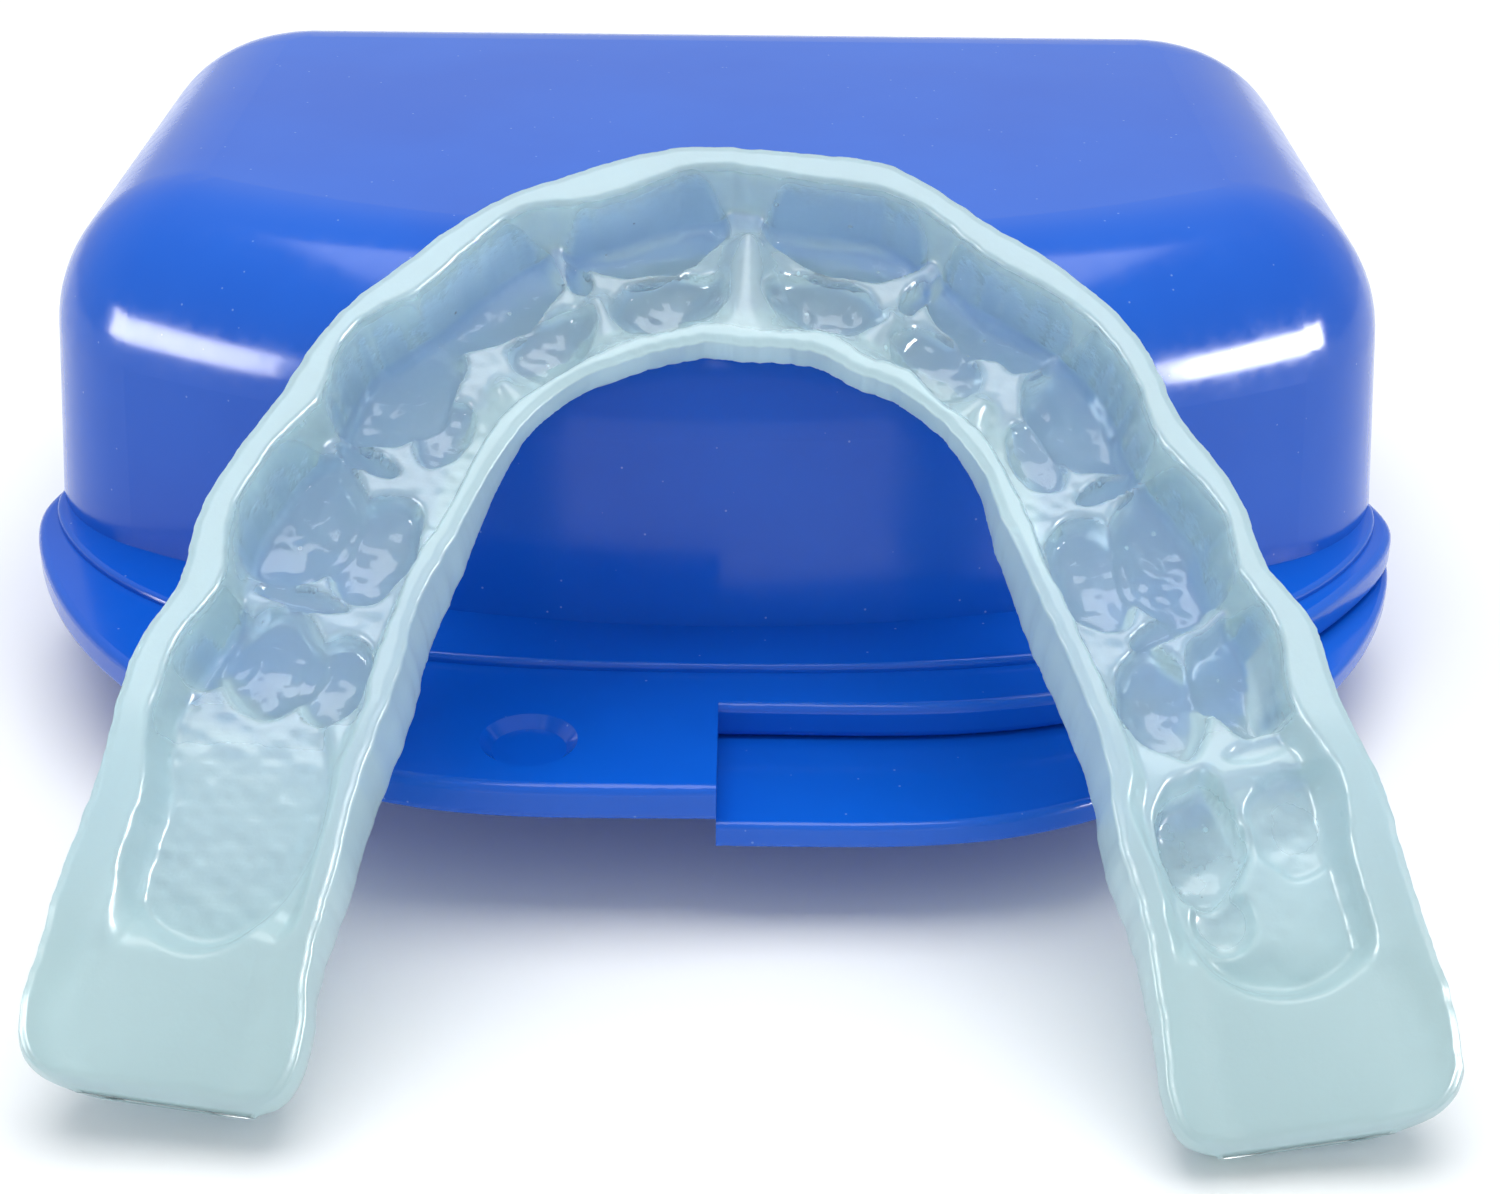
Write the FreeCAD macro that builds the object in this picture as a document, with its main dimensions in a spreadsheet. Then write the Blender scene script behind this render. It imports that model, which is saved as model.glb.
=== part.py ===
"""Tooth guard leaning on its hinged plastic box.

Frame: origin at the middle of the box on the table, +Z up, +Y towards the hinge,
-Y towards the thumb tabs. Millimetres. The box has two shells joined by a rod at
the back. Their front tabs lie side by side: the lid's on the left, the base's on
the right. The guard stands on its two heels in front and leans on the lid.
"""
import FreeCAD, Part

import math
import os

from FreeCAD import Placement, Rotation, Vector

SIZES = {
    # shell outline, seen from above, where the two shells meet
    "back_y": 38.5, "back_half_width": 40.2, "wide_y": -6.0, "wide_half_width": 41.4,
    "front_y": -18.7, "front_radius": 72.5,
    "back_corner_radius": 12.2, "front_corner_radius": 12.2,
    # heights
    "base_height": 6.8, "parting_gap": 0.1, "lid_rise": 22.5,
    "lid_draft": 5.0, "base_draft": 9.0,
    "lid_edge_radius": 9.6, "base_edge_radius": 3.0,
    # walls
    "lid_wall": 1.5, "base_wall": 2.7, "base_floor": 1.6,
    "tongue_setback": 1.85, "tongue_rise": 1.8,
    # flanges and thumb tabs
    "lid_flange_thickness": 2.1, "base_flange_thickness": 1.5,
    "tab_split_x": 0.5, "lid_tab_edge_radius": 0.5, "base_tab_edge_radius": 0.35,
    "step_rise": 0.5, "step_edge_radius": 0.3,
    "dimple_x": -9.5, "dimple_y": -29.9, "dimple_radius": 2.6, "dimple_depth": 0.6,
    # hinge
    "hinge_y": 41.9, "knuckle_radius": 2.6, "rod_radius": 1.0, "rod_clearance": 0.05,
    "lid_knuckle_length": 24.0, "base_knuckle_length": 8.0, "knuckle_gap": 0.3,
    # guard, in its own plane
    "guard_height": 8.4, "guard_tilt": 36.2, "guard_x": 1.85, "guard_heel_y": -52.6,
    "channel_depth": 6.0, "heel_step": 10.5, "heel_height": 3.4, "heel_taper_end": 18.0,
    "outer_rim": 2.1, "inner_rim": 1.9, "guard_edge_radius": 1.4, "heel_corner_radius": 2.5,
}

# half of each front edge, from the middle out to the side of the shell
TAB_EDGE = [(0, -34.5), (17, -33.2), (31.5, -23.6), (38.8, -13.2), (41.5, -5), (40.3, 1.5)]
SHORT_EDGE = [(0, -26.2), (17, -25.4), (30, -19.6), (38.0, -11.5), (41.5, -5), (40.3, 1.5)]
STEP_EDGE = [(0, -22.8), (17, -21.6), (31, -16.4), (38.4, -9.0), (40.6, -4), (39.9, 1.5)]

# half of the guard's arch: distance from its middle line at each distance from the heels
GUARD_OUTER = [(34.0, 0), (32.2, 10), (29.4, 20), (25.9, 31), (19.0, 42.8), (9.2, 50.4), (0, 52.1)]
GUARD_INNER = [(20.6, 0), (19.2, 10), (17.0, 20), (13.1, 30), (9.9, 34.9), (5.6, 37.8), (0, 39.0)]


SIDE_LEAN = 0.35      # how far a front edge still leans inwards where it meets the side
HEEL_OVERRUN = 0.5    # the heel wedge starts this far before the heels
RIM_OVERRUN = 0.2     # and ends this far above the rim
HALF_SPAN = 40.0      # wider than half the guard
LEVEL_TOLERANCE = 0.01
LEAST_POCKET = 50.0   # mm3 that a pocket has to remove


def make_sheet(doc):
    """Write the driving sizes into the document's spreadsheet."""
    sheet = doc.addObject("Spreadsheet::Sheet", "Sizes")
    for row, (name, value) in enumerate(SIZES.items(), start=1):
        sheet.set(f"A{row}", name)
        sheet.set(f"B{row}", str(value))
        sheet.setAlias(f"B{row}", name)
    doc.recompute()
    return sheet


def flat_sketch(body, name, geometry, height=0.0, role="XY_Plane"):
    """A closed sketch on one of the body's planes, moved along its normal by height."""
    sketch = body.newObject("Sketcher::SketchObject", name)
    plane = next(f for f in body.Origin.OriginFeatures if f.Role == role)
    sketch.AttachmentSupport = [(plane, "")]
    sketch.MapMode = "FlatFace"
    sketch.AttachmentOffset = Placement(Vector(0, 0, height), Rotation())
    sketch.addGeometry(geometry, False)
    return sketch


def pad(body, sketch, name, length, reverse=False):
    """Pad a sketch by the length that an expression gives."""
    feature = body.newObject("PartDesign::Pad", name)
    feature.Profile = sketch
    feature.setExpression("Length", length)
    feature.Reversed = reverse
    body.Document.recompute()
    return feature


def fillet(body, feature, name, edges, radius):
    """Round the named edges of a feature."""
    rounded = body.newObject("PartDesign::Fillet", name)
    rounded.Base = (feature, edges)
    rounded.setExpression("Radius", radius)
    body.Document.recompute()
    return rounded


def edges_where(shape, test):
    """Names of the edges for which test is true."""
    return [f"Edge{i}" for i, edge in enumerate(shape.Edges, start=1) if test(edge)]


def level(edge, height):
    """True if an edge lies flat at a height."""
    box = edge.BoundBox
    return max(abs(box.ZMin - height), abs(box.ZMax - height)) < LEVEL_TOLERANCE


def shell_corners(sheet, inset):
    """Sharp corners and front arc centre of the shell outline, moved in by inset."""
    back = Vector(sheet.back_half_width, sheet.back_y, 0)
    wide = Vector(sheet.wide_half_width, sheet.wide_y, 0)
    along = (wide - back).normalize()
    inward = Vector(along.y, -along.x, 0)
    start = back + inward * inset
    reach = (sheet.back_y - inset - start.y) / along.y
    back_corner = start + along * reach
    centre = Vector(0, sheet.front_y + sheet.front_radius, 0)
    radius = sheet.front_radius - inset
    offset = start - centre
    half_b = offset.dot(along)
    root = math.sqrt(half_b ** 2 - offset.dot(offset) + radius ** 2)
    front_corner = start + along * (root - half_b)
    return back_corner, front_corner, centre.y - radius


def shell_outline(sheet, inset):
    """Sketch geometry of the shell outline: rounded back corners, sides, arched front."""
    back = shell_corners(sheet, sheet.back_corner_radius)[0]
    front = shell_corners(sheet, sheet.front_corner_radius)[1]
    front_y = shell_corners(sheet, inset)[2]
    back_round = sheet.back_corner_radius - inset
    front_round = sheet.front_corner_radius - inset
    along = Vector(sheet.wide_half_width - sheet.back_half_width,
                   sheet.wide_y - sheet.back_y, 0).normalize()
    outward = Vector(-along.y, along.x, 0)
    arc_centre = Vector(0, sheet.front_y + sheet.front_radius, 0)
    to_front = (front - arc_centre).normalize()
    half = [
        back + Vector(0, back_round, 0),
        back + (outward + Vector(0, 1, 0)).normalize() * back_round,
        back + outward * back_round,
        front + outward * front_round,
        front + (outward + to_front).normalize() * front_round,
        front + to_front * front_round,
    ]
    mirrored = [Vector(-point.x, point.y, 0) for point in half]
    return [
        Part.LineSegment(mirrored[0], half[0]),
        Part.Arc(*half[0:3]),
        Part.LineSegment(half[2], half[3]),
        Part.Arc(*half[3:6]),
        Part.Arc(half[5], Vector(0, front_y, 0), mirrored[5]),
        Part.Arc(mirrored[5], mirrored[4], mirrored[3]),
        Part.LineSegment(mirrored[3], mirrored[2]),
        Part.Arc(mirrored[2], mirrored[1], mirrored[0]),
    ]


def half_curve(points, side):
    """A smooth curve through half a front edge; side is 1 for right and -1 for left."""
    curve = Part.BSplineCurve()
    curve.interpolate([Vector(side * x, y, 0) for x, y in points],
                      InitialTangent=Vector(side, 0, 0),
                      FinalTangent=Vector(-SIDE_LEAN * side, 1, 0))
    return curve


def flange_outline(sheet, left_edge, right_edge):
    """Outline of a flange that has its own front edge on each side of the split."""
    split = sheet.tab_split_x
    right = [(split, right_edge[0][1])] + right_edge[1:]
    left = [(-split, left_edge[0][1])] + left_edge[1:]
    side_right = Vector(right[-1][0], right[-1][1], 0)
    side_left = Vector(-left[-1][0], left[-1][1], 0)
    pieces = [half_curve(right, 1), Part.LineSegment(side_right, side_left), half_curve(left, -1)]
    if left_edge is not right_edge:
        front_right = Vector(split, right[0][1], 0)
        front_left = Vector(split, left[0][1], 0)
        pieces.append(Part.LineSegment(front_left, front_right))
    return pieces


def block(doc, sheet, name, inset, height, draft, edge_radius, upwards=True):
    """Solid block on the shell outline: drafted walls and a rounded far edge."""
    body = doc.addObject("PartDesign::Body", name)
    sketch = flat_sketch(body, name + "_outline", shell_outline(sheet, inset))
    prism = pad(body, sketch, name + "_pad", height, reverse=not upwards)
    walls = [f"Face{i}" for i, face in enumerate(prism.Shape.Faces, start=1)
             if abs(face.normalAt(0, 0).z) < 0.5]
    tapered = body.newObject("PartDesign::Draft", name + "_draft")
    tapered.Base = (prism, walls)
    tapered.NeutralPlane = (sketch, [""])
    tapered.setExpression("Angle", draft)
    tapered.Reversed = not upwards
    doc.recompute()
    far = prism.Length.Value if upwards else -prism.Length.Value
    rim = edges_where(tapered.Shape, lambda edge: level(edge, far))
    fillet(body, tapered, name + "_edge", rim, edge_radius)
    return body


def flange(doc, sheet, name, left_edge, right_edge, thickness, edge_radius):
    """Flat flange whose curved front edges are rounded above and below."""
    body = doc.addObject("PartDesign::Body", name)
    sketch = flat_sketch(body, name + "_outline", flange_outline(sheet, left_edge, right_edge))
    plate = pad(body, sketch, name + "_pad", thickness)
    high = plate.Length.Value

    def on_front(edge):
        flat = level(edge, 0.0) or level(edge, high)
        return flat and edge.BoundBox.YMin < -1.0 and edge.BoundBox.XLength > 1.0

    fillet(body, plate, name + "_edges", edges_where(plate.Shape, on_front), edge_radius)
    return body


def dimple(doc):
    """Tool for a shallow round dimple in the lid's tab; its sides flare out to the rim."""
    tool = doc.addObject("Part::Cone", "dimple_tool")
    tool.setExpression("Radius1", "Sizes.dimple_radius - Sizes.dimple_depth")
    tool.setExpression("Radius2", "Sizes.dimple_radius")
    tool.setExpression("Height", "Sizes.dimple_depth")
    tool.setExpression("Placement.Base.x", "Sizes.dimple_x")
    tool.setExpression("Placement.Base.y", "Sizes.dimple_y")
    tool.setExpression("Placement.Base.z", "Sizes.lid_flange_thickness - Sizes.dimple_depth")
    return tool


def cylinder_x(doc, name, radius, length, middle_x, axis_z="0"):
    """Cylinder along X on the hinge axis, its middle at middle_x."""
    rod = doc.addObject("Part::Cylinder", name)
    rod.setExpression("Radius", radius)
    rod.setExpression("Height", length)
    rod.Placement.Rotation = Rotation(Vector(0, 1, 0), 90)
    rod.setExpression("Placement.Base.x", f"{middle_x} - ({length}) / 2")
    rod.setExpression("Placement.Base.y", "Sizes.hinge_y")
    rod.setExpression("Placement.Base.z", axis_z)
    return rod


def web(doc, name, length, middle_x, upwards):
    """Solid web that ties a knuckle to its shell's back wall."""
    piece = doc.addObject("Part::Box", name)
    piece.setExpression("Length", length)
    piece.setExpression("Width", "Sizes.hinge_y - Sizes.back_y + Sizes.lid_wall")
    piece.setExpression("Height", "Sizes.knuckle_radius")
    piece.setExpression("Placement.Base.x", f"{middle_x} - ({length}) / 2")
    piece.setExpression("Placement.Base.y", "Sizes.back_y - Sizes.lid_wall")
    if not upwards:
        piece.setExpression("Placement.Base.z", "-Sizes.knuckle_radius")
    return piece


def joined(doc, name, pieces):
    """One solid made of overlapping pieces."""
    fused = doc.addObject("Part::MultiFuse", name)
    fused.Shapes = pieces
    doc.recompute()
    return fused


def cut(doc, name, base, tool):
    """One solid with another taken out of it."""
    result = doc.addObject("Part::Cut", name)
    result.Base = base
    result.Tool = tool
    doc.recompute()
    return result


def lid_shell(doc, sheet):
    """Domed lid: flange with a step, thumb tab on the left, one wide knuckle."""
    outer = block(doc, sheet, "lid_outer", 0.0, "Sizes.lid_rise", "Sizes.lid_draft",
                  "Sizes.lid_edge_radius")
    cavity = block(doc, sheet, "lid_cavity", sheet.lid_wall, "Sizes.lid_rise - Sizes.lid_wall",
                   "Sizes.lid_draft", "Sizes.lid_edge_radius - Sizes.lid_wall")
    rim = flange(doc, sheet, "lid_flange", TAB_EDGE, SHORT_EDGE, "Sizes.lid_flange_thickness",
                 "Sizes.lid_tab_edge_radius")
    step = flange(doc, sheet, "lid_step", STEP_EDGE, STEP_EDGE,
                  "Sizes.lid_flange_thickness + Sizes.step_rise", "Sizes.step_edge_radius")
    length = "Sizes.lid_knuckle_length"
    axis_z = "-Sizes.parting_gap"
    knuckle = cylinder_x(doc, "lid_knuckle", "Sizes.knuckle_radius", length, "0", axis_z)
    tie = web(doc, "lid_web", length, "0", upwards=True)
    solid = joined(doc, "lid_solid", [outer, rim, step, knuckle, tie])
    bore = cylinder_x(doc, "lid_bore", "Sizes.rod_radius + Sizes.rod_clearance",
                      f"{length} + 2", "0", axis_z)
    tools = joined(doc, "lid_tools", [cavity, bore, dimple(doc)])
    shell = cut(doc, "lid_shell", solid, tools)
    shell.setExpression("Placement.Base.z", "Sizes.base_height + Sizes.parting_gap")
    return shell


def base_shell(doc, sheet):
    """Shallow tray: tongue inside its rim, thumb tab on the right, two knuckles."""
    outer = block(doc, sheet, "base_outer", 0.0, "Sizes.base_height", "Sizes.base_draft",
                  "Sizes.base_edge_radius", upwards=False)
    cavity = block(doc, sheet, "base_cavity", sheet.base_wall,
                   "Sizes.base_height - Sizes.base_floor", "Sizes.base_draft",
                   "Sizes.base_edge_radius / 2", upwards=False)
    rim = flange(doc, sheet, "base_flange", SHORT_EDGE, TAB_EDGE, "Sizes.base_flange_thickness",
                 "Sizes.base_tab_edge_radius")
    rim.setExpression("Placement.Base.z", "-Sizes.base_flange_thickness")
    tongue = doc.addObject("PartDesign::Body", "base_tongue")
    ring = shell_outline(sheet, sheet.tongue_setback) + shell_outline(sheet, sheet.base_wall)
    pad(tongue, flat_sketch(tongue, "tongue_outline", ring), "tongue_pad", "Sizes.tongue_rise")
    pieces = [outer, rim]
    bores = []
    for side, name in ((1, "right"), (-1, "left")):
        length = "Sizes.base_knuckle_length"
        middle = (f"{side} * (Sizes.lid_knuckle_length / 2 + Sizes.knuckle_gap"
                  f" + Sizes.base_knuckle_length / 2)")
        pieces.append(cylinder_x(doc, f"base_knuckle_{name}", "Sizes.knuckle_radius",
                                 length, middle))
        pieces.append(web(doc, f"base_web_{name}", length, middle, upwards=False))
        bores.append(cylinder_x(doc, f"base_bore_{name}",
                                "Sizes.rod_radius + Sizes.rod_clearance", f"{length} + 2", middle))
    solid = joined(doc, "base_solid", pieces)
    hollow = cut(doc, "base_hollow", solid, joined(doc, "base_tools", [cavity] + bores))
    shell = joined(doc, "base_shell", [hollow, tongue])
    shell.setExpression("Placement.Base.z", "Sizes.base_height")
    return shell


def hinge_rod(doc):
    """Plain rod through the three knuckles."""
    length = ("Sizes.lid_knuckle_length + 2 * Sizes.knuckle_gap"
              " + 2 * Sizes.base_knuckle_length")
    rod = cylinder_x(doc, "hinge_rod", "Sizes.rod_radius", length, "0")
    rod.setExpression("Placement.Base.z", "Sizes.base_height")
    return rod


def arch_curve(stations, trim, start):
    """Smooth arch through the stations, moved sideways by trim, from leg to leg."""
    half = [(across + trim, along) for across, along in stations if along > start]
    top = [(0.0, half[-1][1] + trim)]
    first = [(half[0][0], start)]
    right = first + half[:-1]
    left = [(-across, along) for across, along in reversed(right)]
    curve = Part.BSplineCurve()
    curve.interpolate([Vector(across, along, 0) for across, along in right + top + left])
    return curve


def arch_outline(outer_trim, inner_trim, start):
    """Closed outline between the outer and inner arch, cut off square at the heels."""
    outer = arch_curve(GUARD_OUTER, -outer_trim, start)
    inner = arch_curve(GUARD_INNER, inner_trim, start)
    return [outer, inner,
            Part.LineSegment(outer.StartPoint, inner.StartPoint),
            Part.LineSegment(inner.EndPoint, outer.EndPoint)]


def pocket(body, sketch, name, depth):
    """Pocket a sketch by the depth that an expression gives, and check that it cuts."""
    before = body.Shape.Volume
    feature = body.newObject("PartDesign::Pocket", name)
    feature.Profile = sketch
    feature.setExpression("Length", depth)
    body.Document.recompute()
    if feature.Shape.Volume > before - LEAST_POCKET:
        raise RuntimeError(f"{name} cuts nothing")
    return feature


def mouthguard(doc, sheet):
    """U-shaped trough that thins towards solid heels, leaning on those heels."""
    body = doc.addObject("PartDesign::Body", "mouthguard")
    blank = pad(body, flat_sketch(body, "guard_outline", arch_outline(0.0, 0.0, 0.0)),
                "guard_pad", "Sizes.guard_height")
    corners = edges_where(blank.Shape, lambda edge: edge.BoundBox.ZLength > 1.0)
    feature = fillet(body, blank, "heel_corners", corners, "Sizes.heel_corner_radius")
    under = edges_where(feature.Shape, lambda edge: level(edge, 0.0))
    fillet(body, feature, "guard_edges", under, "Sizes.guard_edge_radius")

    top = sheet.guard_height
    over = top + RIM_OVERRUN
    wedge = [Vector(-HEEL_OVERRUN, sheet.heel_height, 0), Vector(sheet.heel_taper_end, over, 0),
             Vector(-HEEL_OVERRUN, over, 0)]
    sides = [Part.LineSegment(wedge[i - 1], wedge[i]) for i in range(3)]
    pocket(body, flat_sketch(body, "heel_wedge", sides, HALF_SPAN, "YZ_Plane"),
           "heel_taper", str(2 * HALF_SPAN))
    trough = arch_outline(sheet.outer_rim, sheet.inner_rim, sheet.heel_step)
    pocket(body, flat_sketch(body, "trough_outline", trough, top), "trough",
           "Sizes.channel_depth")

    tilt = math.radians(sheet.guard_tilt)
    lift = -sheet.guard_edge_radius * (math.sin(tilt) + math.cos(tilt) - 1)
    body.Placement = Placement(Vector(sheet.guard_x, sheet.guard_heel_y, lift),
                               Rotation(Vector(1, 0, 0), sheet.guard_tilt))
    return body


def export(doc, nodes):
    """Check the whole document, then write each node to its own STEP file."""
    for item in doc.Objects:
        if "Invalid" in item.State or "Error" in item.State:
            raise RuntimeError(f"{item.Name} failed: {item.State}")
    for node in nodes:
        if node.Shape.isNull() or not node.Shape.isValid():
            raise RuntimeError(f"{node.Label} has no valid shape")
    os.makedirs("parts", exist_ok=True)
    for node in nodes:
        node.Shape.exportStep(os.path.join("parts", node.Label + ".step"))
        box = node.Shape.optimalBoundingBox()
        print(f"{node.Label}: {len(node.Shape.Solids)} solid, {node.Shape.Volume:.0f} mm3,"
              f" z {box.ZMin:.2f} to {box.ZMax:.2f}, y {box.YMin:.2f} to {box.YMax:.2f}")


def main():
    """Build the whole assembly."""
    doc = FreeCAD.newDocument("guard_and_box")
    sheet = make_sheet(doc)
    nodes = [base_shell(doc, sheet), lid_shell(doc, sheet), hinge_rod(doc),
             mouthguard(doc, sheet)]
    doc.recompute()
    export(doc, nodes)
    return doc


if __name__ == "__main__":
    main()
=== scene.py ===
"""Looks for a clear tooth guard that leans on its hinged blue plastic box.

Metres, +Z up, +Y towards the hinge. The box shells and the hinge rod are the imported
solids with new materials. The guard is modelled here, with its tooth prints.
"""
import math

import bpy
import numpy as np
from mathutils import Matrix, Vector


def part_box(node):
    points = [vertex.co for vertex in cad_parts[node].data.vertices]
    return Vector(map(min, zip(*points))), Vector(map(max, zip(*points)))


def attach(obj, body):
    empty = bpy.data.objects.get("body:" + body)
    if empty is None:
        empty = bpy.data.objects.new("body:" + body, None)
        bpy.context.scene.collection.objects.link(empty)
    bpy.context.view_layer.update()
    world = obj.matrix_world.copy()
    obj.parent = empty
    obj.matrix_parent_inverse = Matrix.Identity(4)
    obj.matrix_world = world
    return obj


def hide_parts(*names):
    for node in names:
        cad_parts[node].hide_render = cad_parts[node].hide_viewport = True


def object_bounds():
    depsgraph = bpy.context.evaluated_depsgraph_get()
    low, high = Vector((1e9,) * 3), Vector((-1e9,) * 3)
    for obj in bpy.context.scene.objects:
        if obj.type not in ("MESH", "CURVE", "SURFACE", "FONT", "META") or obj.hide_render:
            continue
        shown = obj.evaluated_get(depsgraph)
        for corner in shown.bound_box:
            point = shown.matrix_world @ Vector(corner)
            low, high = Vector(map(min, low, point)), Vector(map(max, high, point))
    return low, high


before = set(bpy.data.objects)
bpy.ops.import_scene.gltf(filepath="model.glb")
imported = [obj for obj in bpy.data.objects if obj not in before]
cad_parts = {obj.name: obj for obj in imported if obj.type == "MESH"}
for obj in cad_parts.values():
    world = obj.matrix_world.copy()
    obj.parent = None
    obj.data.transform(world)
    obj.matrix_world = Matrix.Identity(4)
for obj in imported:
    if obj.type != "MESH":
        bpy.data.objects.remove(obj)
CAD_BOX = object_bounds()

MM = 0.001

# ---- guard, in its own plane (mm): across from its middle line, along from the heels
GUARD_TILT = math.radians(36.2)
HEEL_RIM, FRONT_RIM, RAMP_START, RAMP_END = 3.4, 8.4, -4.0, 20.5
HEEL_CLEARANCE = 0.09
BULLNOSE_REACH = 1.5
STATION_GAP = 0.2

# cross-sections from the left heel round to the right heel:
# outer edge across and along, inner edge across and along
RIBS = (
    (-30.8, 3.0, -22.8, 1.9), (-32.4, 3.6, -21.4, 2.4), (-33.3, 4.8, -20.7, 3.4),
    (-33.4, 6.8, -20.3, 5.2), (-32.6, 9.3, -20.0, 8.4), (-31.5, 13.1, -18.9, 12.4),
    (-30.4, 16.8, -18.2, 15.7), (-29.6, 20.3, -17.4, 19.2), (-28.8, 23.6, -16.5, 22.4),
    (-27.6, 26.6, -15.9, 25.2), (-26.9, 30.0, -14.9, 28.0), (-25.2, 33.9, -13.5, 31.2),
    (-23.0, 37.6, -12.0, 34.2), (-20.8, 41.9, -10.2, 36.6), (-17.2, 45.3, -8.0, 38.4),
    (-13.4, 48.8, -5.7, 39.5), (-8.6, 50.6, -3.5, 40.1), (-3.6, 52.1, -1.2, 40.3),
    (2.4, 52.1, 1.1, 40.2), (7.4, 51.1, 3.5, 39.7), (12.2, 47.9, 5.9, 38.7),
    (16.6, 44.5, 8.3, 37.4), (20.1, 40.7, 10.2, 35.6), (22.0, 36.4, 11.7, 33.2),
    (24.4, 31.9, 12.9, 30.4), (25.5, 28.4, 13.8, 27.8), (27.6, 25.0, 15.0, 24.9),
    (28.7, 21.2, 16.4, 21.4), (30.0, 17.4, 17.4, 17.8), (31.2, 13.6, 17.9, 13.4),
    (32.2, 9.4, 19.0, 9.6), (33.4, 5.8, 19.7, 5.4), (33.5, 3.9, 19.9, 3.0),
    (32.4, 2.5, 20.7, 1.1), (30.4, 1.7, 22.6, 0.5),
)

# where each tooth sits: distance round the arch from the front middle
INCISOR, LATERAL, CANINE, PREMOLAR, SECOND, MOLAR = 4.5, 12.6, 18.6, 27.5, 35.0, 42.5

# tooth prints, the same on both sides: place round the arch, place outwards from the
# arch's middle line, half length along the arch, half width across it, turn, depth
BOTH_SIDES = (
    (INCISOR, 2.7, 4.6, 2.4, 0, 5.4), (INCISOR, -1.9, 3.5, 2.4, 0, 4.1),
    (LATERAL, 2.5, 4.2, 2.7, 0, 5.2), (LATERAL - 0.8, -1.8, 2.8, 2.1, 0, 3.9),
    (CANINE + 0.4, 2.2, 4.0, 3.3, 12, 5.7), (CANINE + 1.5, -1.6, 2.4, 1.5, 0, 3.8),
    (PREMOLAR, 2.1, 4.2, 3.0, 0, 5.1), (PREMOLAR, -1.9, 3.5, 2.2, 0, 4.7),
)
# back teeth differ: one with three cusps on the left; one with two and one with three
# on the right
LEFT_SIDE = (
    (SECOND, 3.7, 2.6, 2.2, 0, 4.4), (SECOND, 0.6, 3.2, 2.7, 0, 4.9),
    (SECOND, -2.7, 2.7, 2.0, 0, 4.5),
)
RIGHT_SIDE = (
    (SECOND, 2.7, 3.4, 3.0, 0, 5.0), (SECOND, -1.9, 3.3, 2.3, 0, 4.8),
    (MOLAR, -2.3, 3.1, 2.3, 0, 4.5), (MOLAR + 3.6, -2.2, 1.8, 1.6, 0, 3.2),
    (MOLAR, 2.4, 2.8, 2.6, 0, 3.0),
)
# thin clefts where neighbouring teeth meet: place, outwards, half width, depth
CLEFTS = ((INCISOR + 4.2, 1.2, 1.3, 4.5), (CANINE + 4.6, 1.0, 2.0, 4.6),
          (PREMOLAR + 3.8, 0.4, 2.6, 4.0), (SECOND + 3.9, 1.4, 1.8, 2.0))
CLEFT_HALF_LENGTH = 0.65
# broad shallow beds with flat floors: place, outwards, half length, half width, depth
LEFT_BED, RIGHT_BED = (MOLAR, 0.4, 7.0, 5.1, 2.7), (MOLAR + 2.6, 0.6, 5.2, 5.2, 2.1)
# papilla ridges behind the front teeth: place, length, half width, height; all start
# the same way inwards of the middle line
RIDGE_FOOT = -4.6
RIDGES = ((0.0, 5.0, 1.9, 2.7), (INCISOR + 4.0, 3.2, 1.5, 1.6), (LATERAL + 3.0, 2.0, 1.3, 1.1))

STATIONS, TOP_STEPS, WALL_STEPS, UNDER_STEPS = 620, 84, 11, 24


def smooth(value, low, high):
    """0 below low, 1 above high, and a smooth rise between."""
    t = np.clip((value - low) / (high - low), 0.0, 1.0)
    return t * t * (3 - 2 * t)


def ripple(a, b, size, seed, waves=9):
    """Even, repeatable bumpiness between about -1 and 1 over points a, b."""
    rng = np.random.default_rng(seed)
    total = np.zeros(np.broadcast(a, b).shape)
    for _ in range(waves):
        turn, phase = rng.uniform(0, 2 * math.pi, 2)
        rate = 2 * math.pi / (size * rng.uniform(0.7, 1.5))
        total += np.sin((a * math.cos(turn) + b * math.sin(turn)) * rate + phase)
    return total / math.sqrt(waves)


def through(points, count):
    """Evenly spaced points on a smooth curve through the rows of points."""
    points = np.asarray(points, float)
    padded = np.vstack([2 * points[0] - points[1], points, 2 * points[-1] - points[-2]])
    middle = (points[:, :2] + points[:, 2:]) / 2 if points.shape[1] == 4 else points
    outer = points[:, :2]
    gap = (np.linalg.norm(np.diff(middle, axis=0), axis=1)
           + np.linalg.norm(np.diff(outer, axis=0), axis=1)) / 2
    knots = np.concatenate([[0], np.cumsum(gap)])
    where = np.linspace(0, knots[-1], count)
    index = np.clip(np.searchsorted(knots, where, side="right") - 1, 0, len(points) - 2)
    t = ((where - knots[index]) / gap[index])[:, None]
    p0, p1, p2, p3 = (padded[index + k] for k in range(4))
    return 0.5 * (2 * p1 + (p2 - p0) * t + (2 * p0 - 5 * p1 + 4 * p2 - p3) * t ** 2
                  + (3 * p1 - p0 - 3 * p2 + p3) * t ** 3)


def rim_height(along):
    """Height of the cut rim above the underside: low at the heels, level in front."""
    ramp = smooth(along, RAMP_START, RAMP_END)
    return HEEL_RIM + (FRONT_RIM - HEEL_RIM) * ramp


def arch_line():
    """The arch's middle line: distance from its front middle, points and directions."""
    ribs = through(RIBS, STATIONS)
    middle = (ribs[:, :2] + ribs[:, 2:]) / 2
    steps = np.linalg.norm(np.diff(middle, axis=0), axis=1)
    distance = np.concatenate([[0], np.cumsum(steps)])
    distance -= np.interp(0.0, middle[:, 0], distance)
    return distance, middle, np.gradient(middle, distance, axis=0)


ARCH = arch_line()


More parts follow.
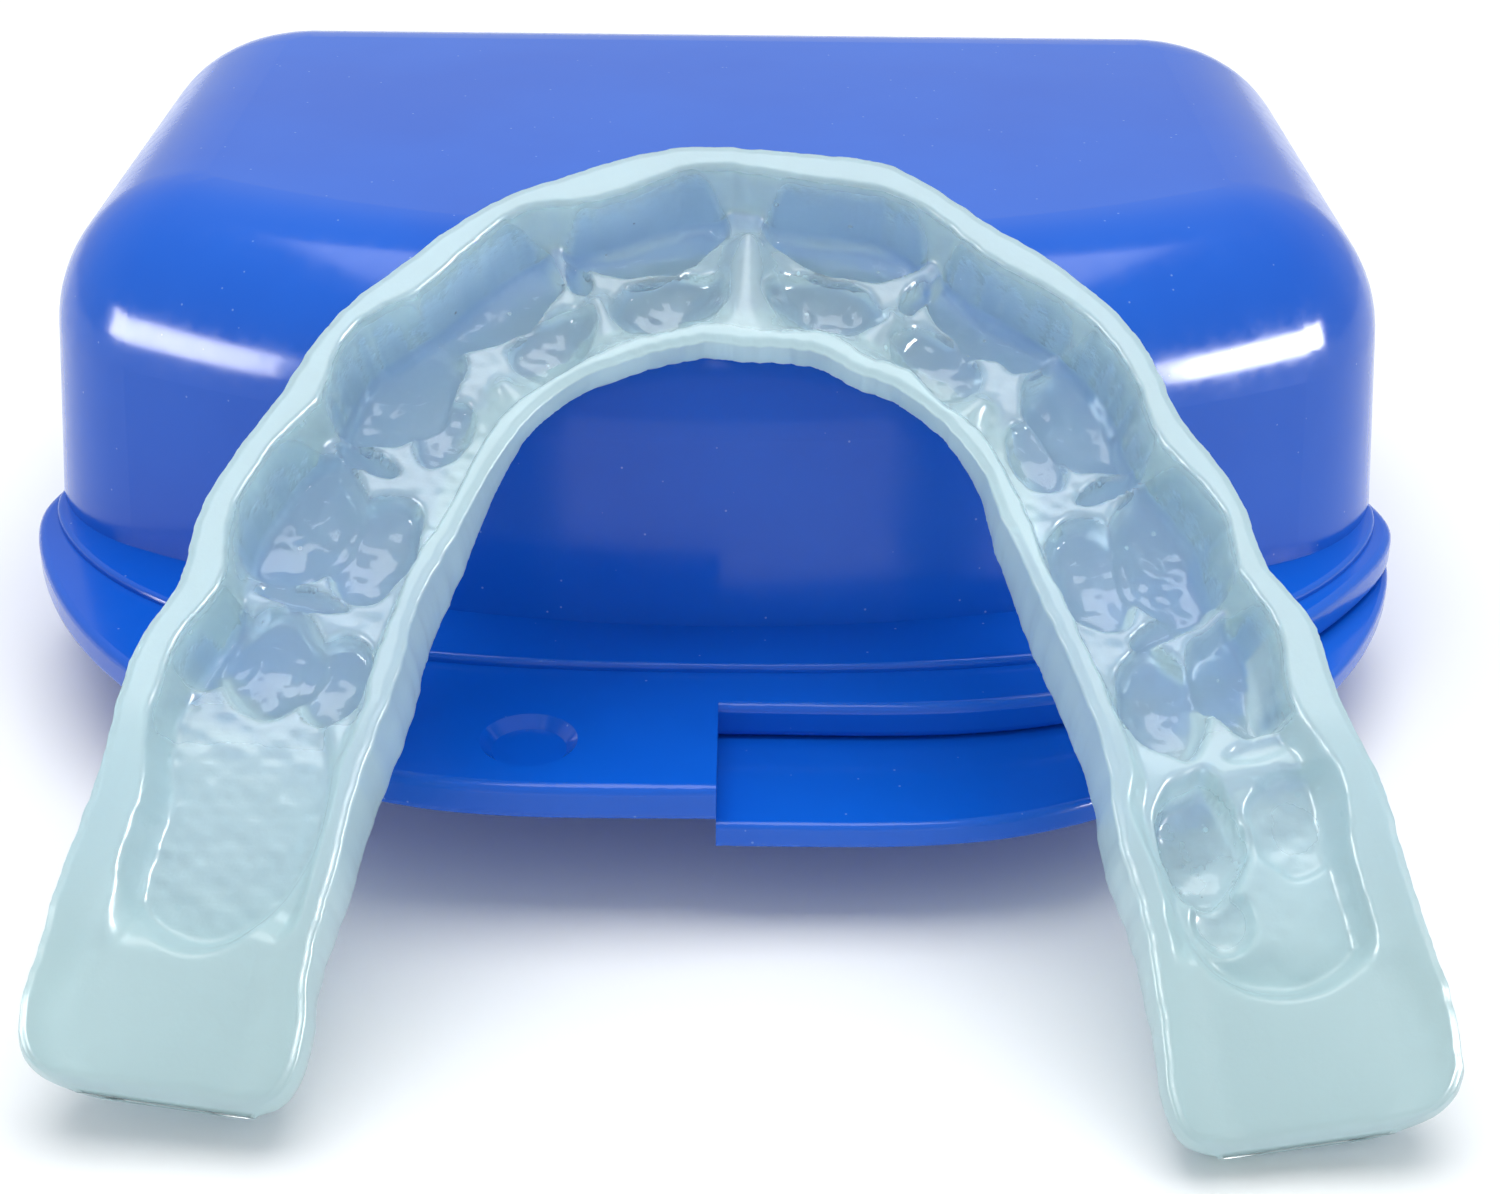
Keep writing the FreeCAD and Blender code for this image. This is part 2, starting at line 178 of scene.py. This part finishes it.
def on_arch(place, outwards):
    """Point and direction (degrees) at a place round the arch, moved outwards from it."""
    distance, middle, direction = ARCH
    x, y, along_x, along_y = (np.interp(place, distance, column)
                              for column in (*middle.T, *direction.T))
    size = math.hypot(along_x, along_y)
    point = (x - outwards * along_y / size, y + outwards * along_x / size)
    return point, math.degrees(math.atan2(along_y, along_x))


def placed(side, place, outwards, half_length, half_width, turn, depth):
    """One print on side -1 (left) or 1 (right), as the numbers oval takes."""
    point, direction = on_arch(side * place, outwards)
    return (*point, half_length, half_width, direction + side * turn, depth)


def all_prints():
    """Every tooth print and cleft, placed round the arch."""
    prints = []
    for side, own in ((-1, LEFT_SIDE), (1, RIGHT_SIDE)):
        prints += [placed(side, *mark) for mark in BOTH_SIDES + own]
        prints += [placed(side, place, outwards, CLEFT_HALF_LENGTH, half_width, 0, depth)
                   for place, outwards, half_width, depth in CLEFTS]
    return prints


def all_beds():
    """The two worn beds at the back."""
    return [placed(side, *bed[:4], 0, bed[4]) for side, bed in ((-1, LEFT_BED), (1, RIGHT_BED))]


def oval(across, along, mark):
    """Distance from the middle of a print, as a share of its half sizes."""
    x, y, half_length, half_width, turn, _ = mark
    c, s = math.cos(math.radians(turn)), math.sin(math.radians(turn))
    dx, dy = across - x, along - y
    return np.sqrt(((dx * c + dy * s) / half_length) ** 2
                   + ((dy * c - dx * s) / half_width) ** 2)


def print_depth(across, along):
    """Depth of the tooth prints below the rim."""
    sharpness = 7.0
    total = np.zeros_like(across)
    for number, mark in enumerate(all_prints()):
        share = oval(across, along, mark)
        share = share * (1 + 0.05 * ripple(across, along, 2.6, 40 + number, 4))
        bowl = np.clip(1.18 - share, 0, 1) / 1.18
        bowl = smooth(bowl, 0.0, 0.34) * (0.80 + 0.20 * (1 - np.clip(share, 0, 1) ** 2))
        total += (mark[-1] * bowl) ** sharpness
    for mark in all_beds():
        share = oval(across, along, mark)
        total += (mark[-1] * smooth(1.12 - share, 0.0, 0.22)) ** sharpness
    return total ** (1 / sharpness)


def ridge_height(across, along):
    """Height of the papilla ridges between the front teeth."""
    total = np.zeros_like(across)
    for place, length, width, height in RIDGES:
        for side in (-1, 1) if place else (1,):
            (x0, y0), _ = on_arch(side * place, RIDGE_FOOT)
            (x1, y1), _ = on_arch(side * place, RIDGE_FOOT + length)
            dx, dy = x1 - x0, y1 - y0
            t = np.clip(((across - x0) * dx + (along - y0) * dy) / length ** 2, 0, 1)
            off = np.hypot(across - x0 - t * dx, along - y0 - t * dy)
            half = width * (1.35 - 0.75 * t)
            total = np.maximum(total, height * np.exp(-(off / half) ** 2))
    return total


def trough(across, along, from_outer, from_inner):
    """Depth of the guard's upper face below the rim, and how milky it is there."""
    step = along + 0.5 * ripple(across, along, 6.0, 2)
    channel = 1.5 * smooth(step, 8.6, 11.0) + 1.3 * smooth(along, 17.0, 24.0)
    front = smooth(along, 36.0, 41.0)
    outer_rim = 1.45 + 0.30 * ripple(across, along, 8.0, 3) + 0.9 * smooth(-along, -24, -10)
    inner_rim = 0.85 + 0.18 * ripple(across, along, 6.0, 5)
    inside = (smooth(from_outer, outer_rim, outer_rim + 1.15)
              * smooth(from_inner, inner_rim, inner_rim + 1.0 + 0.7 * front))
    prints = print_depth(across, along)
    depth = (channel ** 5 + prints ** 5) ** 0.2
    depth = depth - ridge_height(across, along) * smooth(depth, 0.5, 2.0)
    heel = 0.35 * smooth(10.0 - step, 0.0, 1.6)
    heel_lip = smooth(np.minimum(from_outer, from_inner), 0.6, 3.0)
    wrinkles = 0.04 * ripple(across, along, 1.7, 11) + 0.03 * ripple(across, along, 0.8, 12)
    depth = np.maximum(depth, 0.0) * inside + heel * heel_lip
    depth = depth + wrinkles * smooth(depth, 1.0, 3.4)
    open_face = (smooth(from_outer, outer_rim, outer_rim + 0.5)
                 * smooth(from_inner, inner_rim, inner_rim + 0.5))
    clear = open_face * (0.45 * smooth(channel, 1.4, 2.6) + 0.55 * smooth(prints, 2.2, 3.8))
    return depth, clear


def wavy_ribs():
    """The ribs as arrays, with the small waves of a hand-trimmed edge."""
    ribs = through(RIBS, STATIONS)
    outer, inner = ribs[:, :2], ribs[:, 2:]
    out = outer - inner
    out = out / np.linalg.norm(out, axis=1)[:, None]
    place = np.arange(STATIONS) * STATION_GAP
    calm = smooth(np.minimum(place, place[::-1]), 0.0, 6.0)
    nicks = np.random.default_rng(7).normal(0.0, 0.010, STATIONS)
    wave_out = 0.13 * ripple(place, 0 * place, 7.0, 21) + 0.03 * ripple(place, 0 * place, 1.6, 22)
    wave_in = 0.11 * ripple(place, 0 * place, 6.0, 23) + 0.03 * ripple(place, 0 * place, 1.5, 24)
    outer = outer + out * ((wave_out + nicks) * calm)[:, None]
    inner = inner - out * ((wave_in + nicks[::-1]) * calm)[:, None]
    return outer, inner


def section_steps():
    """Shares across the upper face, closer together at both rims."""
    t = np.linspace(0, 1, TOP_STEPS)
    return t - 0.08 * np.sin(2 * math.pi * t)


def guard_rings():
    """Rings of points (across, along, height, milkiness), one at each station."""
    outer, inner = wavy_ribs()
    width = np.linalg.norm(outer - inner, axis=1)[:, None]
    shares = section_steps()[None, :]
    inward = (inner - outer) / width
    top = outer[:, None, :] + inward[:, None, :] * (shares * width)[:, :, None]
    depth, clear = trough(top[..., 0], top[..., 1], shares * width, (1 - shares) * width)
    rim = rim_height(top[..., 1])
    edge = np.minimum(shares, 1 - shares) * width
    rounding = 0.22 * (1 - smooth(edge, 0.0, 0.45))
    height = rim - depth - rounding
    front = smooth(top[:, :1, 1] * 0.5 + top[:, -1:, 1] * 0.5, 24.0, 40.0)

    def wall(side_edge, direction, levels, offsets):
        """Points down one side wall, from below the rim to the underside."""
        spots = side_edge[:, None, :] + direction[:, None, :] * offsets[:, :, None]
        return np.concatenate([spots, levels[:, :, None]], axis=2)

    down = np.linspace(0, 1, WALL_STEPS + 2)[None, 1:-1]
    inner_top, outer_top = height[:, -1:], height[:, :1]
    foot_in = np.minimum(2.0 + 4.7 * front, (0.6 + 0.2 * front) * inner_top)
    foot_out = np.minimum(1.7, 0.5 * outer_top) + 0 * front
    belly = 0.35 * np.sin(math.pi * down) * (1 - 0.6 * front)
    inner_wall = wall(inner, inward, inner_top + (foot_in - inner_top) * down, belly * 0.5)
    outer_wall = wall(outer, -inward, outer_top + (foot_out - outer_top) * down, belly)

    # underside: from the foot of the inner wall round to the foot of the outer wall
    turn = np.linspace(0, 1, UNDER_STEPS)[None, :]
    reach_in = 1.6 + 3.4 * front
    floor = 0.9 * front
    curve_in = smooth(turn, 0.0, 0.5)
    curve_out = smooth(1 - turn, 0.0, 0.3)
    from_inner = turn * width
    lift_in = (foot_in - floor) * np.clip(1 - from_inner / reach_in, 0, 1) ** 1.6
    from_outer = (1 - turn) * width
    lift_out = (foot_out - floor) * np.clip(1 - from_outer / 1.7, 0, 1) ** 2.0
    under = inner[:, None, :] - inward[:, None, :] * from_inner[:, :, None]
    dimpled = 0.06 * (1 + ripple(under[..., 0], under[..., 1], 5.0, 31)) * curve_in * curve_out
    under_height = floor + lift_in + lift_out + dimpled
    under = np.concatenate([under, under_height[:, :, None]], axis=2)

    upper = np.concatenate([top, height[:, :, None]], axis=2)
    rings = np.concatenate([upper, inner_wall, under, outer_wall[:, ::-1]], axis=1)
    order = np.arange(STATIONS)
    end = np.minimum(order, order[::-1]) * STATION_GAP
    bullnose = np.sqrt(1 - (1 - np.clip(end / BULLNOSE_REACH, 0.01, 1)) ** 2)[:, None]
    middle = 0.5 * HEEL_RIM
    rings[..., 2] = middle + (rings[..., 2] - middle) * bullnose
    clear = np.concatenate([clear, np.zeros((STATIONS, rings.shape[1] - TOP_STEPS))], axis=1)
    return rings, clear


def guard_to_row():
    """Matrix from the guard's own plane (mm) to the row frame (m)."""
    low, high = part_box("mouthguard")
    heel_y = low.y + (HEEL_RIM * math.sin(GUARD_TILT) + HEEL_CLEARANCE) * MM
    place = Matrix.Translation(Vector(((low.x + high.x) / 2, heel_y, low.z)))
    return place @ Matrix.Rotation(GUARD_TILT, 4, "X") @ Matrix.Scale(MM, 4)


def make_guard():
    """The guard as one closed mesh."""
    rings, clear = guard_rings()
    stations, loop = rings.shape[:2]
    points = rings.reshape(-1, 3)
    faces = []
    for i in range(stations - 1):
        row, after = i * loop, (i + 1) * loop
        for j in range(loop):
            k = (j + 1) % loop
            faces.append((row + j, row + k, after + k, after + j))
    faces += end_caps(stations, loop)
    mesh = bpy.data.meshes.new("tooth_guard")
    mesh.from_pydata(points.tolist(), [], faces)
    mesh.transform(guard_to_row())
    sunk = CAD_BOX[0].z - min(v.co.z for v in mesh.vertices)
    mesh.transform(Matrix.Translation((0, 0, sunk)))
    mesh.validate()
    layer = mesh.attributes.new("clear", "FLOAT", "POINT")
    layer.data.foreach_set("value", clear.reshape(-1).astype(np.float32))
    heel = smooth(16.0 - points[:, 1], 0.0, 9.0)
    layer = mesh.attributes.new("heel", "FLOAT", "POINT")
    layer.data.foreach_set("value", heel.astype(np.float32))
    mesh.polygons.foreach_set("use_smooth", [True] * len(mesh.polygons))
    mesh.update()
    piece = bpy.data.objects.new("tooth_guard", mesh)
    bpy.context.scene.collection.objects.link(piece)
    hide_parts("mouthguard")
    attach(piece, "guard")
    return piece


def end_caps(stations, loop):
    """Faces that close both heels: strips between the upper face and the rest of the ring."""
    caps = []
    rest = loop - TOP_STEPS
    for start, flip in ((0, False), ((stations - 1) * loop, True)):
        upper = list(range(TOP_STEPS))
        lower = [loop - 1 - k for k in range(rest)]
        i = j = 0
        while i < len(upper) - 1 or j < len(lower) - 1:
            ahead = i / (len(upper) - 1) <= j / (len(lower) - 1)
            if (ahead and i < len(upper) - 1) or j == len(lower) - 1:
                face = (upper[i], upper[i + 1], lower[j])
                i += 1
            else:
                face = (upper[i], lower[j + 1], lower[j])
                j += 1
            face = tuple(start + v for v in face)
            caps.append(face if not flip else face[::-1])
    return caps


# ---- materials

class Nodes:
    """Short way to build one material's node tree."""

    def __init__(self, name):
        self.material = bpy.data.materials.new(name)
        self.material.use_nodes = True
        self.tree = self.material.node_tree
        self.shader = self.tree.nodes["Principled BSDF"]

    def add(self, kind, values=None, **settings):
        node = self.tree.nodes.new(kind)
        for key, value in settings.items():
            setattr(node, key, value)
        for key, value in (values or {}).items():
            if isinstance(value, bpy.types.NodeSocket):
                self.tree.links.new(value, node.inputs[key])
            else:
                node.inputs[key].default_value = value
        return node

    def put(self, **values):
        """Set or link the shader's own sockets; underscores in names stand for spaces."""
        for key, value in values.items():
            socket = self.shader.inputs[key.replace("_", " ")]
            if isinstance(value, bpy.types.NodeSocket):
                self.tree.links.new(value, socket)
            else:
                socket.default_value = value

    def noise(self, scale, detail=3.0, roughness=0.55):
        where = self.add("ShaderNodeTexCoord").outputs["Object"]
        return self.add("ShaderNodeTexNoise", {"Vector": where, "Scale": scale,
                                               "Detail": detail, "Roughness": roughness}).outputs[0]

    def specks(self, scale, radius):
        """Small round specks scattered at random: 1 on a speck."""
        where = self.add("ShaderNodeTexCoord").outputs["Object"]
        cells = self.add("ShaderNodeTexVoronoi", {"Vector": where, "Scale": scale})
        return self.ramp(cells.outputs["Distance"], ((radius * 0.6, 1.0), (radius, 0.0)))

    def ramp(self, factor, stops):
        node = self.add("ShaderNodeValToRGB", {"Fac": factor})
        elements = node.color_ramp.elements
        while len(elements) < len(stops):
            elements.new(0.5)
        for element, (place, value) in zip(elements, stops):
            element.position = place
            element.color = (value, value, value, 1) if isinstance(value, float) else (*value, 1)
        return node.outputs["Color"]

    def maths(self, operation, a, b):
        return self.add("ShaderNodeMath", {0: a, 1: b}, operation=operation).outputs[0]

    def mix(self, factor, a, b):
        node = self.add("ShaderNodeMix", data_type="RGBA")
        for index, value in ((0, factor), (6, a), (7, b)):
            if isinstance(value, bpy.types.NodeSocket):
                self.tree.links.new(value, node.inputs[index])
            else:
                node.inputs[index].default_value = (*value, 1) if isinstance(value, tuple) else value
        return node.outputs[2]

    def bump(self, height, strength, distance):
        node = self.add("ShaderNodeBump", {"Height": height, "Strength": strength,
                                           "Distance": distance})
        self.put(Normal=node.outputs[0])


def blue_plastic():
    """Glossy moulded polypropylene: flow marks, fine dust and faint scuffs."""
    made = Nodes("blue_moulded_plastic")
    tone = made.ramp(made.noise(38.0, 4.0),
                     ((0.35, (0.002, 0.092, 0.55)), (0.65, (0.004, 0.112, 0.61))))
    dust = made.specks(700.0, 0.055)
    colour = made.mix(made.maths("MULTIPLY", dust, 0.35), tone, (0.35, 0.55, 0.80))
    scuffs = made.noise(950.0, 5.0, 0.7)
    made.put(Base_Color=colour,
             Roughness=made.ramp(scuffs, ((0.35, 0.12), (0.75, 0.22))),
             IOR=1.44)
    wobble = made.maths("ADD", made.noise(60.0, 1.0), made.maths("MULTIPLY", scuffs, 0.02))
    made.bump(wobble, 0.10, 0.0006)
    return made.material


def drawn_steel():
    """Drawn wire: bright grey, with fine lines along its length."""
    made = Nodes("drawn_steel")
    where = made.add("ShaderNodeTexCoord").outputs["Object"]
    stretched = made.add("ShaderNodeMapping", {"Vector": where, "Scale": (60.0, 2500.0, 2500.0)})
    lines = made.add("ShaderNodeTexNoise", {"Vector": stretched.outputs[0], "Scale": 1.0,
                                            "Detail": 3.0}).outputs[0]
    made.put(Base_Color=made.ramp(lines, ((0.3, (0.46, 0.47, 0.49)), (0.7, (0.62, 0.63, 0.65)))),
             Metallic=1.0, Roughness=made.ramp(lines, ((0.3, 0.24), (0.7, 0.38))))
    made.bump(lines, 0.15, 0.00004)
    return made.material


def guard_resin():
    """Milky clear thermoplastic: clear in the prints, cloudy on rim and heels."""
    made = Nodes("milky_clear_resin")
    clear = made.add("ShaderNodeAttribute", attribute_name="clear").outputs["Fac"]
    heel = made.add("ShaderNodeAttribute", attribute_name="heel").outputs["Fac"]
    cloud = made.noise(210.0, 4.0, 0.6)
    flecks = made.specks(420.0, 0.07)
    clearness = made.maths("MULTIPLY", clear, made.ramp(cloud, ((0.3, 0.75), (0.62, 1.0))))
    clearness = made.maths("SUBTRACT", clearness, made.maths("MULTIPLY", flecks, 0.5))
    milk = made.mix(heel, (0.60, 0.78, 0.83), (0.56, 0.73, 0.75))
    made.put(Base_Color=made.mix(clearness, milk, (0.86, 0.96, 0.99)),
             Transmission_Weight=made.ramp(clearness, ((0.0, 0.42), (0.85, 0.93))),
             Roughness=made.ramp(clearness, ((0.0, 0.34), (0.8, 0.10))),
             IOR=1.45, Coat_Weight=0.25, Coat_Roughness=0.12)
    grain = made.maths("ADD", made.noise(1400.0, 4.0, 0.6),
                       made.maths("MULTIPLY", made.noise(420.0, 2.0), 1.5))
    made.bump(grain, 0.22, 0.00010)
    return made.material


def studio_white():
    """Plain pale floor with the faintest mottle."""
    made = Nodes("pale_floor")
    made.put(Base_Color=made.ramp(made.noise(9.0), ((0.3, 0.90), (0.7, 0.93))), Roughness=0.9)
    return made.material


def coat(node, material):
    """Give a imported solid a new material; its mesh and place stay as they are."""
    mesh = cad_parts[node].data
    mesh.materials.clear()
    mesh.materials.append(material)


# ---- stage (metres; the camera is placed from the middle of the guard's heels)
CAMERA_OFFSET = Vector((0.0003, -0.0920, 0.0825))
CAMERA_DIP, CAMERA_ROLL = math.radians(29.0), math.radians(0.6)
CAMERA_LENS = 62.4
GLEAM_OFFSET, GLEAM_SIZE = Vector((0.46, -0.20, 0.075)), (0.30, 0.13)


def make_floor():
    """A wide plain floor at the height the box stands on."""
    half = 1.5
    z = CAD_BOX[0].z
    corners = [(-half, -half, z), (half, -half, z), (half, half, z), (-half, half, z)]
    mesh = bpy.data.meshes.new("floor")
    mesh.from_pydata(corners, [], [(0, 1, 2, 3)])
    mesh.materials.append(studio_white())
    floor = bpy.data.objects.new("floor", mesh)
    bpy.context.scene.collection.objects.link(floor)


def soft_light(name, place, target, size, power, colour=(1.0, 1.0, 1.0)):
    """A rectangular softbox at place, facing target."""
    lamp = bpy.data.lights.new(name, "AREA")
    lamp.shape = "RECTANGLE"
    lamp.size, lamp.size_y = size
    lamp.energy = power
    lamp.color = colour
    holder = bpy.data.objects.new(name, lamp)
    holder.location = place
    holder.rotation_euler = (Vector(target) - Vector(place)).to_track_quat("-Z", "Y").to_euler()
    bpy.context.scene.collection.objects.link(holder)
    return holder


def make_lights():
    """Soft light from above and all round, and two windows that gleam on the lid."""
    lid_low, lid_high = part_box("lid_shell")
    middle = Vector((0.0, (lid_low.y + lid_high.y) / 2, lid_high.z / 2))
    soft_light("overhead", middle + Vector((0, 0.0, 0.80)), middle, (0.8, 0.6), 5.0)
    right = Vector((lid_high.x, lid_low.y, middle.z))
    left = Vector((lid_low.x, lid_low.y, middle.z))
    windows = (("window_right", right, 1, 5.0), ("window_left", left, -1, 2.6))
    for name, corner, side, power in windows:
        place = corner + GLEAM_OFFSET * Vector((side, 1, 1))
        gleam = soft_light(name, place, corner, GLEAM_SIZE, power)
        gleam.visible_diffuse = False
    world = bpy.data.worlds.new("studio")
    bpy.context.scene.world = world
    world.use_nodes = True
    sky = world.node_tree.nodes["Background"]
    sky.inputs["Color"].default_value = (0.93, 0.97, 1.0, 1)
    sky.inputs["Strength"].default_value = 0.68


def make_camera():
    """Close camera in front, a little above, looking down at the guard and box."""
    guard_low, guard_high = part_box("mouthguard")
    middle_x = (guard_low.x + guard_high.x) / 2
    camera = bpy.data.cameras.new("camera")
    camera.sensor_width = 36.0
    camera.lens = CAMERA_LENS
    camera.clip_start, camera.clip_end = 0.005, 20.0
    holder = bpy.data.objects.new("camera", camera)
    holder.location = Vector((middle_x, guard_low.y, guard_low.z)) + CAMERA_OFFSET
    tilt = Matrix.Rotation(math.radians(90) - CAMERA_DIP, 3, "X")
    holder.rotation_euler = (tilt @ Matrix.Rotation(CAMERA_ROLL, 3, "Z")).to_euler()
    bpy.context.scene.collection.objects.link(holder)
    bpy.context.scene.camera = holder
    bpy.context.scene.view_settings.view_transform = "Standard"


plastic = blue_plastic()
coat("lid_shell", plastic)
coat("base_shell", plastic)
coat("hinge_rod", drawn_steel())
make_guard().data.materials.append(guard_resin())
make_floor()
make_lights()
make_camera()
